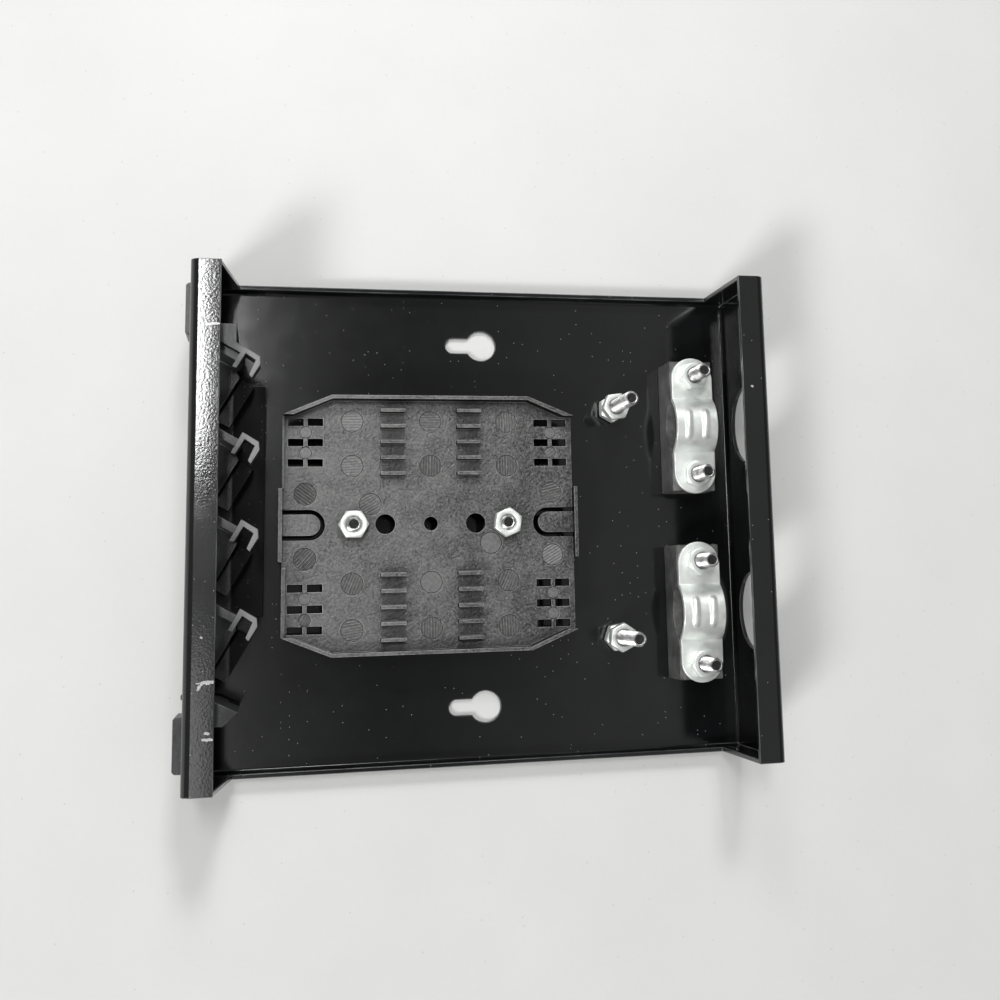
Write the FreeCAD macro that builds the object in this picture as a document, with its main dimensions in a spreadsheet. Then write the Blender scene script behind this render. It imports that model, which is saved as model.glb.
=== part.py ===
"""Open wall-mount fiber termination box, cover off: folded steel base, adapter holder, splice
tray, two cable clamps and two threaded posts. Millimetres, +Z up, origin at the centre of the
base's underside, +X towards the cable-entry wall."""
import FreeCAD, Part
import Sketcher
import math
import os
import re

DIMENSIONS = {
    # folded base
    "base_length": 151.6,
    "base_width": 130.0,
    "base_height": 33.5,
    "gauge": 1.2,
    "bend_inner": 1.0,
    "lip_width": 7.5,
    "left_return_skew": 3.7,
    "right_return_skew": 0.2,
    "flange_height": 5.0,
    # keyholes in the floor, for hanging the box on two screws
    "keyhole_x": 1.8,
    "keyhole_pitch": 100.0,
    "keyhole_radius": 4.2,
    "keyhole_neck": 4.2,
    "keyhole_run": 7.9,
    # cable entries in the right wall
    "entry_radius": 10.5,
    "entry_offset": 26.0,
    "entry_level": 16.6,
    # adapter holder in the left wall
    "window_length": 99.8,
    "window_bottom": 4.0,
    "window_top": 27.6,
    "holder_gap": 0.1,
    "holder_top": 27.5,
    "port_pitch": 21.8,
    "port_width": 13.2,
    "port_height": 9.6,
    "port_level": 15.8,
    "port_tilt": 30.0,
    "port_centre": 8.0,
    "duct_reach": 14.0,
    "latch_depth": 6.7,
    "return_top": 25.6,
    "shelf_top": 11.0,
    "rail_gap": 0.7,
    "rail_gauge": 3.8,
    "rail_start": 0.3,
    "rail_run": 12.5,
    "rail_joint": 1.0,
    "rail_top": 10.6,
    "slot_bottom": 5.8,
    "foot_x": -57.5,
    "foot_near": -24.0,
    "foot_far": 37.0,
    "foot_gauge": 1.6,
    "ear_overlap": 2.8,
    "ear_length": 13.5,
    "ear_corner": 0.6,
    "ear_bottom": 14.0,
    "ear_height": 11.5,
    "near_ear_gauge": 2.5,
    "far_ear_gauge": 1.5,
    "barb_y": -43.4,
    "barb_depth": 1.4,
    "barb_width": 1.2,
    "barb_height": 6.0,
    "barb_reach": 1.1,
    "neck_step": 0.2,
    # splice tray
    "tray_x": -13.7,
    "tray_y": -0.5,
    "tray_half_length": 39.3,
    "tray_half_width": 34.3,
    "tray_corner_x": 26.5,
    "tray_corner_y": 29.0,
    "tray_floor_bottom": 8.3,
    "tray_floor": 1.5,
    "tray_wall": 1.0,
    "tray_wall_rise": 4.2,
    "tray_rim_rise": 1.6,
    "tray_rim_break": 1.5,
    "tongue_frame_x": 40.2,
    "tongue_frame_y": 9.6,
    "tongue_frame_rise": 2.6,
    "tongue_width": 5.6,
    "tongue_tip": 29.3,
    "tongue_slot": 1.2,
    "tongue_rise": 0.8,
    "tray_hole_radius": 1.85,
    "tray_side_hole": 12.2,
    "tray_side_hole_radius": 2.65,
    "tray_stud_offset": 20.7,
    "tray_stud_rise": 0.2,
    "tray_boss_radius": 5.0,
    "tray_boss_bore": 2.2,
    "tray_foot_bore": 3.0,
    "tray_foot_roof": 1.0,
    "fin_x": 10.3,
    "fin_length": 6.7,
    "fin_gauge": 0.95,
    "fin_rise": 3.2,
    "fin_first": 13.4,
    "fin_pitch": 4.25,
    "tie_slot_length": 4.0,
    "tie_slot_width": 2.0,
    "tie_inner_x": 30.7,
    "tie_outer_x": 35.8,
    "tie_first": 16.5,
    "tie_pitch": 5.45,
    "disc_radius": 3.0,
    "small_disc_radius": 1.6,
    "disc_depth": 0.35,
    # M4 hardware
    "stud_radius": 2.0,
    "stud_flange_radius": 2.75,
    "stud_flange": 0.9,
    "stud_chamfer": 0.5,
    "tall_stud_top": 25.0,
    "nut_flats": 7.0,
    "nut_height": 3.2,
    "nut_bore": 2.05,
    "nut_chamfer": 0.45,
    "post_x": 39.4,
    "post_far_y": 32.0,
    "post_near_y": -32.5,
    "post_nut_gap": 0.8,
    # cable clamps
    "clamp_x": 60.5,
    "clamp_offset": 26.0,
    "clamp_pitch": 28.0,
    "block_length": 12.5,
    "block_width": 37.0,
    "block_top": 12.2,
    "block_bore": 3.0,
    "channel_half": 7.6,
    "channel_depth": 4.6,
    "strap_length": 12.0,
    "strap_width": 38.5,
    "strap_gauge": 1.3,
    "strap_bore": 2.25,
    "arch_half": 6.7,
    "arch_rise": 4.0,
    "rib_offset": 2.5,
    "rib_width": 2.0,
    "rib_length": 7.5,
    "rib_rise": 0.45,
    # how far a cutter runs past the solid it cuts, and how far joined solids run into each other
    "overcut": 1.0,
    "overlap": 0.3,
}

UP = FreeCAD.Vector(0, 0, 1)
ALONG_X = FreeCAD.Vector(1, 0, 0)
TOLERANCE = 0.01
FIN_COUNT = 5
TIE_ROWS = 3
PORT_COUNT = 4
SMALL_DISC_STEPS = (0.5, 1.5)
# share of a tray wall's thickness by which its slanted corners move in along X and along Y
CORNER_SHARE_X = 0.2
CORNER_SHARE_Y = 0.8
# ejector discs in the tray floor, from the tray's centre
LARGE_DISCS = [
    (-21.0, 27.7), (0.0, 27.7), (21.0, 27.7),
    (-21.0, 15.6), (0.0, 15.6), (21.0, 15.6),
    (-21.0, -27.7), (0.0, -27.7), (21.0, -27.7),
    (-21.0, -15.6), (0.0, -15.6), (21.0, -15.6),
    (-33.3, 8.2), (33.3, 8.2), (-33.3, -8.9), (33.3, -8.9),
    (-16.2, 5.4), (16.3, -5.4),
]
# plan outlines of the first adapter port, at the +Y end; the other ports repeat it towards -Y
PORT_SHELF = [(-74.6, 47.0), (-66.1, 42.1), (-64.1, 38.5), (-74.6, 20.31)]
PORT_RETURN = [(-74.6, 48.5), (-63.3, 42.0), (-64.4, 40.3), (-74.6, 46.2)]
PORT_LATCH = [
    (-65.7, 38.7), (-62.85, 43.9), (-58.8, 41.4), (-58.65, 39.35), (-60.75, 35.9),
    (-61.5, 36.7), (-59.85, 40.45), (-62.3, 42.15), (-64.6, 38.3),
]
FACE_CORNER = FreeCAD.Vector(-64.1, 38.5, 0)
FAR_END = [
    (-74.6, 49.7), (-64.6, 49.7), (-64.6, 44.95), (-62.85, 43.9), (-63.6, 42.2), (-74.6, 48.5),
]
NEAR_END = [(-74.6, -43.7), (-68.5, -43.7), (-63.0, -46.3), (-66.6, -49.6), (-74.6, -49.6)]

doc = FreeCAD.newDocument("fiber_termination_box")
sheet = doc.addObject("Spreadsheet::Sheet", "dims")


def fill_sheet():
    """Put every driving dimension in a cell of its own, under its alias."""
    for row, (alias, value) in enumerate(DIMENSIONS.items(), start=1):
        sheet.set("A%d" % row, alias)
        sheet.set("B%d" % row, str(value))
        sheet.setAlias("B%d" % row, alias)
    doc.recompute()


def bound(value):
    """Turn an expression over aliases into one that other objects can use."""
    def qualify(match):
        word = match.group()
        return "dims." + word if word in DIMENSIONS else word
    return re.sub(r"[a-z_]+", qualify, str(value))


def number(value):
    """Evaluate an expression over the sheet's aliases."""
    return float(sheet.evalExpression(str(value)))


def bind(item, **properties):
    """Bind properties of an object to expressions over the sheet."""
    for name, value in properties.items():
        item.setExpression(name, bound(value))
    return item


def place(item, x=0, y=0, z=0):
    """Bind an object's position to expressions over the sheet."""
    for axis, value in zip("xyz", (x, y, z)):
        item.setExpression("Placement.Base." + axis, bound(value))
    return item


def block(name, size, corner):
    """Box with its lowest corner at corner."""
    item = doc.addObject("Part::Box", name)
    bind(item, Length=size[0], Width=size[1], Height=size[2])
    return place(item, *corner)


def centred_block(name, size, x, y, z):
    """Box centred on x, y that stands on z."""
    corner = ("%s - (%s) / 2" % (x, size[0]), "%s - (%s) / 2" % (y, size[1]), z)
    return block(name, size, corner)


def rod(name, radius, length, start, along=UP):
    """Cylinder from start along one direction."""
    item = doc.addObject("Part::Cylinder", name)
    item.Placement = FreeCAD.Placement(FreeCAD.Vector(), FreeCAD.Rotation(UP, along))
    bind(item, Radius=radius, Height=length)
    return place(item, *start)


def fuse(name, parts):
    """Join solids into one."""
    item = doc.addObject("Part::MultiFuse", name)
    item.Shapes = parts
    item.Refine = True
    return item


def cut(name, base, tools):
    """Take one or more solids away from another."""
    item = doc.addObject("Part::Cut", name)
    item.Base = base
    item.Tool = tools[0] if len(tools) == 1 else fuse(name + "_tools", tools)
    item.Refine = True
    return item


def common(name, first, second):
    """Keep what two solids share."""
    item = doc.addObject("Part::Common", name)
    item.Base = first
    item.Tool = second
    return item


def origin_feature(body, role):
    """One of a body's own origin planes or axes."""
    return next(feature for feature in body.Origin.OriginFeatures if feature.Role == role)


def new_sketch(body, role, points, offset=0):
    """Closed outline on an origin plane, each corner held by two dimensions from the origin."""
    sketch = body.newObject("Sketcher::SketchObject", body.Name + "_outline")
    sketch.AttachmentSupport = [(origin_feature(body, role), "")]
    sketch.MapMode = "FlatFace"
    sketch.setExpression("AttachmentOffset.Base.z", bound(offset))
    spots = [FreeCAD.Vector(number(x), number(y), 0) for x, y in points]
    for first, second in zip(spots, spots[1:] + spots[:1]):
        sketch.addGeometry(Part.LineSegment(first, second))
    last = len(spots) - 1
    for index, corner in enumerate(points):
        previous = index - 1 if index else last
        sketch.addConstraint(Sketcher.Constraint("Coincident", previous, 2, index, 1))
        for kind, value in zip(("DistanceX", "DistanceY"), corner):
            held = Sketcher.Constraint(kind, -1, 1, index, 1, number(value))
            row = sketch.addConstraint(held)
            if isinstance(value, str):
                sketch.setExpression("Constraints[%d]" % row, bound(value))
    return sketch


def prism(name, points, start, height, role="XY_Plane"):
    """Outline padded from start by height along the plane's normal."""
    body = doc.addObject("PartDesign::Body", name)
    sketch = new_sketch(body, role, points, start)
    pad = body.newObject("PartDesign::Pad", name + "_pad")
    pad.Profile = sketch
    bind(pad, Length=height)
    body.Tip = pad
    return body


def turned(name, points):
    """Outline in the XZ plane, revolved about Z."""
    body = doc.addObject("PartDesign::Body", name)
    sketch = new_sketch(body, "XZ_Plane", points)
    revolution = body.newObject("PartDesign::Revolution", name + "_turn")
    revolution.Profile = sketch
    revolution.ReferenceAxis = (origin_feature(body, "Z_Axis"), [""])
    revolution.Angle = 360
    body.Tip = revolution
    return body


def folded_block(name, inset, radius):
    """The base's envelope, inset by a distance, with its bends rounded."""
    half_length = "(base_length / 2 - %s)" % inset
    half_width = "(base_width / 2 - %s)" % inset
    corners = [
        ("-" + half_length, "-" + half_width),
        (half_length, "-" + half_width),
        (half_length, half_width),
        ("-" + half_length, half_width),
    ]
    body = prism(name, corners, inset, "base_height - 2 * (%s)" % inset)
    doc.recompute()
    pad = body.Tip
    floor = number(inset)
    side = number(half_length)
    bends = []
    for index, edge in enumerate(pad.Shape.Edges, start=1):
        middle = edge.BoundBox.Center
        at_floor = edge.BoundBox.ZMax < floor + TOLERANCE
        at_end = abs(abs(middle.x) - side) < TOLERANCE
        at_lip = at_end and edge.BoundBox.ZMin > floor + TOLERANCE
        if at_floor or at_lip:
            bends.append("Edge%d" % index)
    fillet = body.newObject("PartDesign::Fillet", name + "_bends")
    fillet.Base = (pad, bends)
    bind(fillet, Radius=radius)
    body.Tip = fillet
    return body


def keyhole(name, side):
    """Round hole with a narrower slot that runs towards -X."""
    centre_y = "%d * keyhole_pitch / 2" % side
    depth = "gauge + 2 * overcut"
    slot_end = "keyhole_x - keyhole_run"
    return [
        rod(name + "_head", "keyhole_radius", depth, ("keyhole_x", centre_y, "-overcut")),
        rod(name + "_end", "keyhole_neck / 2", depth, (slot_end, centre_y, "-overcut")),
        block(name + "_neck", ("keyhole_run", "keyhole_neck", depth),
              (slot_end, centre_y + " - keyhole_neck / 2", "-overcut")),
    ]


def make_base_tray():
    """Folded sheet: floor, two tall walls with inward lips, low flanges and corner returns."""
    outer = folded_block("base_outer", "0", "bend_inner + gauge")
    inner = folded_block("base_inner", "gauge", "bend_inner")
    top = "base_height + overcut"
    knee = "base_height - gauge"
    narrow = "(base_length / 2 - lip_width)"
    mouth = prism("base_mouth", [
        ("left_return_skew - " + narrow, "flange_height"),
        (narrow + " - right_return_skew", "flange_height"), (narrow, knee), (narrow, top),
        ("-" + narrow, top), ("-" + narrow, knee)],
        "-(base_width / 2 + overcut)", "base_width + 2 * overcut", "XZ_Plane")
    through = "gauge + 2 * overcut"
    tools = [inner, mouth]
    tools.append(block("adapter_window", (through, "window_length", "window_top - window_bottom"),
                       ("-base_length / 2 - overcut", "-window_length / 2", "window_bottom")))
    for side, name in ((1, "far"), (-1, "near")):
        tools += keyhole("keyhole_" + name, side)
        start = ("base_length / 2 - gauge - overcut", "%d * entry_offset" % side, "entry_level")
        tools.append(rod("entry_" + name, "entry_radius", through, start, ALONG_X))
    return cut("base_tray", outer, tools)


def port_block(name, index, along, across, heights):
    """Box squared to a port's slanted face. Each pair is a start and a size: along the face
    from its outer corner, across it towards the inside of the box, and in height."""
    lean = math.radians(number("port_tilt"))
    down_face = FreeCAD.Vector(-math.sin(lean), -math.cos(lean), 0)
    inward = FreeCAD.Vector(math.cos(lean), -math.sin(lean), 0)
    face_end = number(along[0]) + number(along[1])
    corner = FACE_CORNER + down_face * face_end + inward * number(across[0])
    item = doc.addObject("Part::Box", name)
    turn = FreeCAD.Rotation(UP, -number("port_tilt"))
    item.Placement = FreeCAD.Placement(FreeCAD.Vector(), turn)
    bind(item, Length=across[1], Width=along[1], Height=heights[1])
    return place(item, corner.x, "%.6f - %d * port_pitch" % (corner.y, index), heights[0])


def port_solids(index):
    """Shelf, return wall, latch and rail of one adapter port."""
    name = "port_%d" % (index + 1)
    bottom = "window_bottom + holder_gap"
    layers = [
        ("_shelf", PORT_SHELF, bottom, "shelf_top - (%s)" % bottom),
        ("_return", PORT_RETURN, bottom, "return_top - (%s)" % bottom),
        ("_latch", PORT_LATCH, "holder_top - latch_depth", "latch_depth"),
    ]
    solids = []
    for suffix, outline, start, height in layers:
        solids.append(place(prism(name + suffix, outline, start, height), 0, "-%d * port_pitch" % index))
    across = ("-overlap", "overlap + rail_gap + rail_gauge")
    rise = (bottom, "rail_top - (%s)" % bottom)
    solids.append(port_block(name + "_rail", index, ("rail_start", "rail_run"), across, rise))
    return solids


def port_cuts(index):
    """The slot behind a port's rail and the opening that its adapter sits in."""
    name = "port_%d" % (index + 1)
    slot_run = "rail_start + rail_run - rail_joint + overcut"
    slot = port_block(name + "_slot", index, ("-overcut", slot_run), (0, "rail_gap"),
                      ("slot_bottom", "shelf_top"))
    duct = port_block(name + "_duct", index, ("port_centre - port_width / 2", "port_width"),
                      ("-duct_reach", "duct_reach"), ("port_level - port_height / 2", "port_height"))
    return [slot, duct]


def ear(name, thick, start, shank_y):
    """Mounting ear flat on the outside of the wall, and the shank that joins it to the neck."""
    root = "-base_length / 2"
    outer = root + " - " + thick
    eased = outer + " + ear_corner"
    end = start + " + ear_length"
    outline = [
        (root, start), (eased, start), (outer, start + " + ear_corner"),
        (outer, end + " - ear_corner"), (eased, end), (root, end),
    ]
    shank = (thick + " / 2 + gauge / 2", "ear_overlap", "ear_height")
    return [
        prism(name, outline, "ear_bottom", "ear_height"),
        block(name + "_shank", shank, ("%s - %s / 2" % (root, thick), shank_y, "ear_bottom")),
    ]


def make_adapter_holder():
    """One moulding: neck in the wall's window, four angled ports, latches, foot and two ears."""
    bottom = "window_bottom + holder_gap"
    height = "holder_top - (%s)" % bottom
    wall = "-base_length / 2"
    neck_y = "-(window_length / 2 - holder_gap)"
    solids = [
        block("holder_neck", ("gauge + neck_step", "window_length - 2 * holder_gap", height),
              (wall, neck_y, bottom)),
        prism("holder_far_end", FAR_END, bottom, height),
        prism("holder_near_end", NEAR_END, bottom, height),
        block("holder_foot", ("foot_x + base_length / 2 - gauge", "foot_far - foot_near", "foot_gauge"),
              (wall + " + gauge", "foot_near", bottom)),
    ]
    cuts = []
    for index in range(PORT_COUNT):
        solids += port_solids(index)
        cuts += port_cuts(index)
    body = cut("holder_ports", fuse("holder_body", solids), cuts)
    barb = block("holder_barb", ("barb_depth", "barb_width", "barb_height"),
                 (wall + " - barb_reach", "barb_y", "ear_bottom"))
    neck_end = "(window_length / 2 - holder_gap)"
    far_ear = ear("far_ear", "far_ear_gauge", neck_end + " - ear_overlap", neck_end + " - ear_overlap")
    near_ear = ear("near_ear", "near_ear_gauge", "-%s + ear_overlap - ear_length" % neck_end,
                   "-" + neck_end)
    return fuse("adapter_holder", [body, barb] + far_ear + near_ear)


def tray_octagon(name, inset, start, height):
    """The tray's outline, inset by a distance, as a plate."""
    long_x = "(tray_half_length - %s)" % inset
    long_y = "(tray_half_width - %s)" % inset
    corner_x = "(tray_corner_x - %s * %g)" % (inset, CORNER_SHARE_X)
    corner_y = "(tray_corner_y - %s * %g)" % (inset, CORNER_SHARE_Y)
    quarter = [(long_x, corner_y), (corner_x, long_y)]
    points = []
    for sign_x, sign_y, order in ((1, 1, 1), (-1, 1, -1), (-1, -1, 1), (1, -1, -1)):
        for x, y in quarter[::order]:
            points.append(("%d * %s" % (sign_x, x), "%d * %s" % (sign_y, y)))
    return prism(name, points, start, height)


def tongue_outline(name, side, grow, start, height):
    """Rounded tongue that points from one side frame to the tray's middle, grown all round."""
    half = "(tongue_width / 2 + %s)" % grow
    round_x = "%d * (tongue_tip + tongue_width / 2)" % side
    run = "tongue_frame_x - tray_wall - tongue_tip - tongue_width / 2 + overlap"
    low_x = round_x if side > 0 else "%s - (%s)" % (round_x, run)
    return [
        rod(name + "_tip", half, height, (round_x, 0, start)),
        block(name + "_run", (run, "2 * " + half, height), (low_x, "-" + half, start)),
    ]


def tray_side(side, name):
    """Frame, wall and tongue of one end of the tray, and the opening round the tongue."""
    frame_low_x = "tongue_frame_x - tray_wall" if side > 0 else "-tongue_frame_x"
    ledge_low_x = "tray_half_length - tray_wall" if side > 0 else "-tongue_frame_x"
    floor = "tray_floor_bottom"
    frame = block(name + "_frame", ("tray_wall", "2 * tongue_frame_y", "tray_floor + tongue_frame_rise"),
                  (frame_low_x, "-tongue_frame_y", floor))
    ledge = block(name + "_ledge",
                  ("tongue_frame_x - tray_half_length + tray_wall", "2 * tongue_frame_y", "tray_floor"),
                  (ledge_low_x, "-tongue_frame_y", floor))
    tongue = tongue_outline(name + "_tongue", side, "0", floor, "tray_floor + tongue_rise")
    opening = tongue_outline(name + "_slot", side, "tongue_slot", floor + " - overcut",
                             "tray_floor + 2 * overcut")
    return [frame, ledge], tongue, opening


def tray_fins():
    """Four combs of upright fins that the fibres are laid between."""
    fins = []
    size = ("fin_length", "fin_gauge", "fin_rise + overlap")
    level = "tray_floor_bottom + tray_floor - overlap"
    for side_x in (-1, 1):
        for side_y in (-1, 1):
            for step in range(FIN_COUNT):
                name = "fin_%d" % len(fins)
                y = "%d * (fin_first + %d * fin_pitch)" % (side_y, step)
                fins.append(centred_block("tray_" + name, size, "%d * fin_x" % side_x, y, level))
    return fins


def tray_tie_slots():
    """Pairs of through-slots for cable ties in the four corners."""
    slots = []
    size = ("tie_slot_length", "tie_slot_width", "tray_floor + 2 * overcut")
    for side_x in (-1, 1):
        for column in ("tie_inner_x", "tie_outer_x"):
            for side_y in (-1, 1):
                for step in range(TIE_ROWS):
                    name = "tray_tie_slot_%d" % len(slots)
                    x = "%d * %s" % (side_x, column)
                    y = "%d * (tie_first + %d * tie_pitch)" % (side_y, step)
                    slots.append(centred_block(name, size, x, y, "tray_floor_bottom - overcut"))
    return slots


def tray_discs():
    """Shallow round ejector marks in the floor."""
    level = "tray_floor_bottom + tray_floor - disc_depth"
    discs = []
    for x, y in LARGE_DISCS:
        name = "tray_disc_%d" % len(discs)
        discs.append(rod(name, "disc_radius", "disc_depth + overcut", (x, y, level)))
    for side_x in (-1, 1):
        for side_y in (-1, 1):
            for step in SMALL_DISC_STEPS:
                name = "tray_disc_%d" % len(discs)
                x = "%d * (tie_inner_x + tie_outer_x) / 2" % side_x
                y = "%d * (tie_first + %g * tie_pitch)" % (side_y, step)
                discs.append(rod(name, "small_disc_radius", "disc_depth + overcut", (x, y, level)))
    return discs


def tray_holes():
    """Round holes on the tray's centre line, and the bores of its two bosses."""
    through = "tray_floor + 2 * overcut"
    below = "tray_floor_bottom - overcut"
    holes = [rod("tray_hole_middle", "tray_hole_radius", through, (0, 0, below))]
    for side, name in ((-1, "left"), (1, "right")):
        stud_x = "%d * tray_stud_offset" % side
        holes += [
            rod("tray_hole_" + name, "tray_side_hole_radius", through,
                ("%d * tray_side_hole" % side, 0, below)),
            rod("tray_bore_" + name, "tray_boss_bore", "tray_floor_bottom + overcut", (stud_x, 0, "gauge")),
            rod("tray_foot_bore_" + name, "tray_foot_bore", "tray_floor_bottom - gauge - tray_foot_roof",
                (stud_x, 0, "gauge")),
        ]
    return holes


def make_splice_tray():
    """Moulded tray on two bosses: floor, walls, combs, snap tongues and tie slots."""
    floor = tray_octagon("tray_plate", "0", "tray_floor_bottom", "tray_floor")
    rim_height = "tray_floor + tray_wall_rise"
    clear_height = rim_height + " + 2 * overcut"
    below = "tray_floor_bottom - overcut"
    rim = cut("tray_walls", tray_octagon("tray_walls_outer", "0", "tray_floor_bottom", rim_height), [
        tray_octagon("tray_walls_inner", "tray_wall", below, clear_height),
        centred_block("tray_walls_gap",
                      ("2 * tongue_frame_x + 2 * overcut", "2 * tray_corner_y", clear_height),
                      0, 0, below),
    ])
    low_rim = ("tray_wall", "tray_corner_y - tongue_frame_y - tray_rim_break", "tray_floor + tray_rim_rise")
    solids = [floor, rim]
    solids.append(block("tray_left_rim_near", low_rim,
                        ("-tray_half_length", "-tray_corner_y", "tray_floor_bottom")))
    thin_rim = ("tray_wall / 2", "tray_corner_y - tongue_frame_y", "tray_floor + tray_rim_rise")
    solids.append(block("tray_left_rim_far", thin_rim,
                        ("-tray_half_length", "tongue_frame_y", "tray_floor_bottom")))
    tongues, openings = [], []
    for side, name in ((-1, "left"), (1, "right")):
        frame, tongue, opening = tray_side(side, name)
        solids += frame
        tongues += tongue
        openings += opening
        solids.append(rod("tray_boss_" + name, "tray_boss_radius", "tray_floor_bottom - gauge + overlap",
                          ("%d * tray_stud_offset" % side, 0, "gauge")))
    solids += tray_fins()
    plate = cut("tray_cut", fuse("tray_solids", solids), openings)
    whole = fuse("tray_whole", [plate] + tongues)
    tray = cut("splice_tray", whole, tray_tie_slots() + tray_discs() + tray_holes())
    return place(tray, "tray_x", "tray_y")


def stud(name, x, y, top):
    """Weld stud on the floor: flange, shank and chamfered end."""
    length = "(%s - gauge)" % top
    outline = [
        (0, 0), ("stud_flange_radius", 0), ("stud_flange_radius", "stud_flange"),
        ("stud_radius", "stud_flange"), ("stud_radius", length + " - stud_chamfer"),
        ("stud_radius - stud_chamfer", length), (0, length),
    ]
    return place(turned(name, outline), x, y, "gauge")


def nut(name, x, y, z, turn):
    """Hex nut: a prism whose corners and bore are chamfered."""
    corner = "nut_flats / sqrt(3)"
    outline = [
        ("nut_bore", "nut_chamfer"), ("nut_bore + nut_chamfer", 0), ("nut_flats / 2", 0),
        (corner, "nut_chamfer"), (corner, "nut_height - nut_chamfer"), ("nut_flats / 2", "nut_height"),
        ("nut_bore + nut_chamfer", "nut_height"), ("nut_bore", "nut_height - nut_chamfer"),
    ]
    hexagon = doc.addObject("Part::Prism", name + "_hexagon")
    hexagon.Polygon = 6
    bind(hexagon, Circumradius=corner, Height="nut_height")
    item = common(name, turned(name + "_blank", outline), hexagon)
    item.Placement = FreeCAD.Placement(FreeCAD.Vector(), FreeCAD.Rotation(UP, turn))
    return place(item, x, y, z)


def clamp_block(name, y):
    """Rubber block with a half-round cable channel and a bore for each stud."""
    radius = "(channel_half ^ 2 + channel_depth ^ 2) / (2 * channel_depth)"
    height = "(block_top - gauge)"
    body = centred_block(name + "_body", ("block_length", "block_width", height), 0, 0, 0)
    start = "-block_length / 2 - overcut"
    level = "%s - channel_depth + %s" % (height, radius)
    tools = [rod(name + "_channel", radius, "block_length + 2 * overcut", (start, 0, level),
                 ALONG_X)]
    for side, tag in ((-1, "near"), (1, "far")):
        tools.append(rod(name + "_bore_" + tag, "block_bore", height + " + 2 * overcut",
                         (0, "%d * clamp_pitch / 2" % side, "-overcut")))
    return place(cut(name, body, tools), "clamp_x", y, "gauge")


def strap_plan(name):
    """The strap's outline from above: a bar with round ends, taller than the strap."""
    middle = ("strap_length", "strap_width - strap_length", "2 * arch_rise")
    parts = [centred_block(name + "_bar", middle, 0, 0, 0)]
    for side, tag in ((-1, "near"), (1, "far")):
        y = "%d * (strap_width - strap_length) / 2" % side
        parts.append(rod(name + "_round_" + tag, "strap_length / 2", "2 * arch_rise", (0, y, 0)))
    return fuse(name, parts)


def clamp_strap(name, y):
    """Pressed strap: flat ends on the block, an arch over the cable and two embossed ribs."""
    radius = "((arch_half ^ 2 + arch_rise ^ 2) / (2 * arch_rise))"
    level = "arch_rise - " + radius
    start = "-strap_length / 2"
    tall = "2 * arch_rise"
    solids = [centred_block(name + "_flats", ("strap_length", "strap_width", "strap_gauge"), 0, 0, 0)]
    crown = rod(name + "_crown", radius + " + strap_gauge", "strap_length", (start, 0, level), ALONG_X)
    above = centred_block(name + "_above", ("strap_length", "strap_width", tall), 0, 0, 0)
    solids.append(common(name + "_arch", crown, above))
    for side, tag in ((-1, "left"), (1, "right")):
        x = "%d * rib_offset" % side
        rib = rod(name + "_rib_" + tag, radius + " + strap_gauge + rib_rise", "rib_width",
                  (x + " - rib_width / 2", 0, level), ALONG_X)
        keep = centred_block(name + "_rib_end_" + tag, ("rib_width", "rib_length", tall), x, 0, 0)
        solids.append(common(name + "_rib_" + tag + "_cut", rib, keep))
    tools = [rod(name + "_under", radius, "strap_length + 2 * overcut",
                 (start + " - overcut", 0, level), ALONG_X)]
    for side, tag in ((-1, "near"), (1, "far")):
        tools.append(rod(name + "_bore_" + tag, "strap_bore", tall,
                         (0, "%d * clamp_pitch / 2" % side, "-overcut")))
    bar = cut(name + "_bar_cut", fuse(name + "_solid", solids), tools)
    return place(common(name, bar, strap_plan(name + "_plan")), "clamp_x", y, "block_top")


def make_clamp(number_tag, side, turns):
    """One cable clamp: block, strap, two studs and two nuts."""
    y = "%d * clamp_offset" % side
    parts = [clamp_block("clamp_block_" + number_tag, y), clamp_strap("clamp_strap_" + number_tag, y)]
    for tag, end, turn in zip("ab", (1, -1), turns):
        stud_y = "%s + %d * clamp_pitch / 2" % (y, end)
        parts.append(stud("clamp_stud_" + number_tag + tag, "clamp_x", stud_y, "tall_stud_top"))
        parts.append(nut("clamp_nut_" + number_tag + tag, "clamp_x", stud_y,
                         "block_top + strap_gauge", turn))
    return parts


def make_post(number_tag, y, lower_turn, upper_turn):
    """One threaded post: stud, lower nut and upper nut."""
    seat = "gauge + stud_flange"
    return [
        stud("post_stud_" + number_tag, "post_x", y, "tall_stud_top"),
        nut("post_lower_nut_" + number_tag, "post_x", y, seat, lower_turn),
        nut("post_upper_nut_" + number_tag, "post_x", y,
            seat + " + nut_height + post_nut_gap", upper_turn),
    ]


def make_tray_fasteners():
    """The two short studs and nuts that hold the splice tray."""
    parts = []
    floor = "tray_floor_bottom + tray_floor"
    for number_tag, side, turn in (("1", -1, 0), ("2", 1, 22)):
        x = "tray_x + %d * tray_stud_offset" % side
        parts.append(stud("tray_stud_" + number_tag, x, "tray_y", floor + " + nut_height + tray_stud_rise"))
        parts.append(nut("tray_nut_" + number_tag, x, "tray_y", floor, turn))
    return parts


def check_all(items):
    """Stop on any object that failed, or any sub-part whose shape isn't one good solid."""
    for item in doc.Objects:
        if "Invalid" in item.State or "Error" in item.State:
            raise RuntimeError("%s failed: %s" % (item.Name, item.State))
    for item in items:
        if item.Shape.isNull() or not item.Shape.isValid():
            raise RuntimeError("%s has no valid shape" % item.Label)
        if len(item.Shape.Solids) != 1:
            raise RuntimeError("%s has %d solids" % (item.Label, len(item.Shape.Solids)))


def export_all(items):
    """Write each sub-part to a STEP file named after its label."""
    os.makedirs("parts", exist_ok=True)
    for item in items:
        item.Shape.exportStep("parts/%s.step" % item.Label)
        print("%-20s %10.1f mm3" % (item.Label, item.Shape.Volume))


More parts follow.
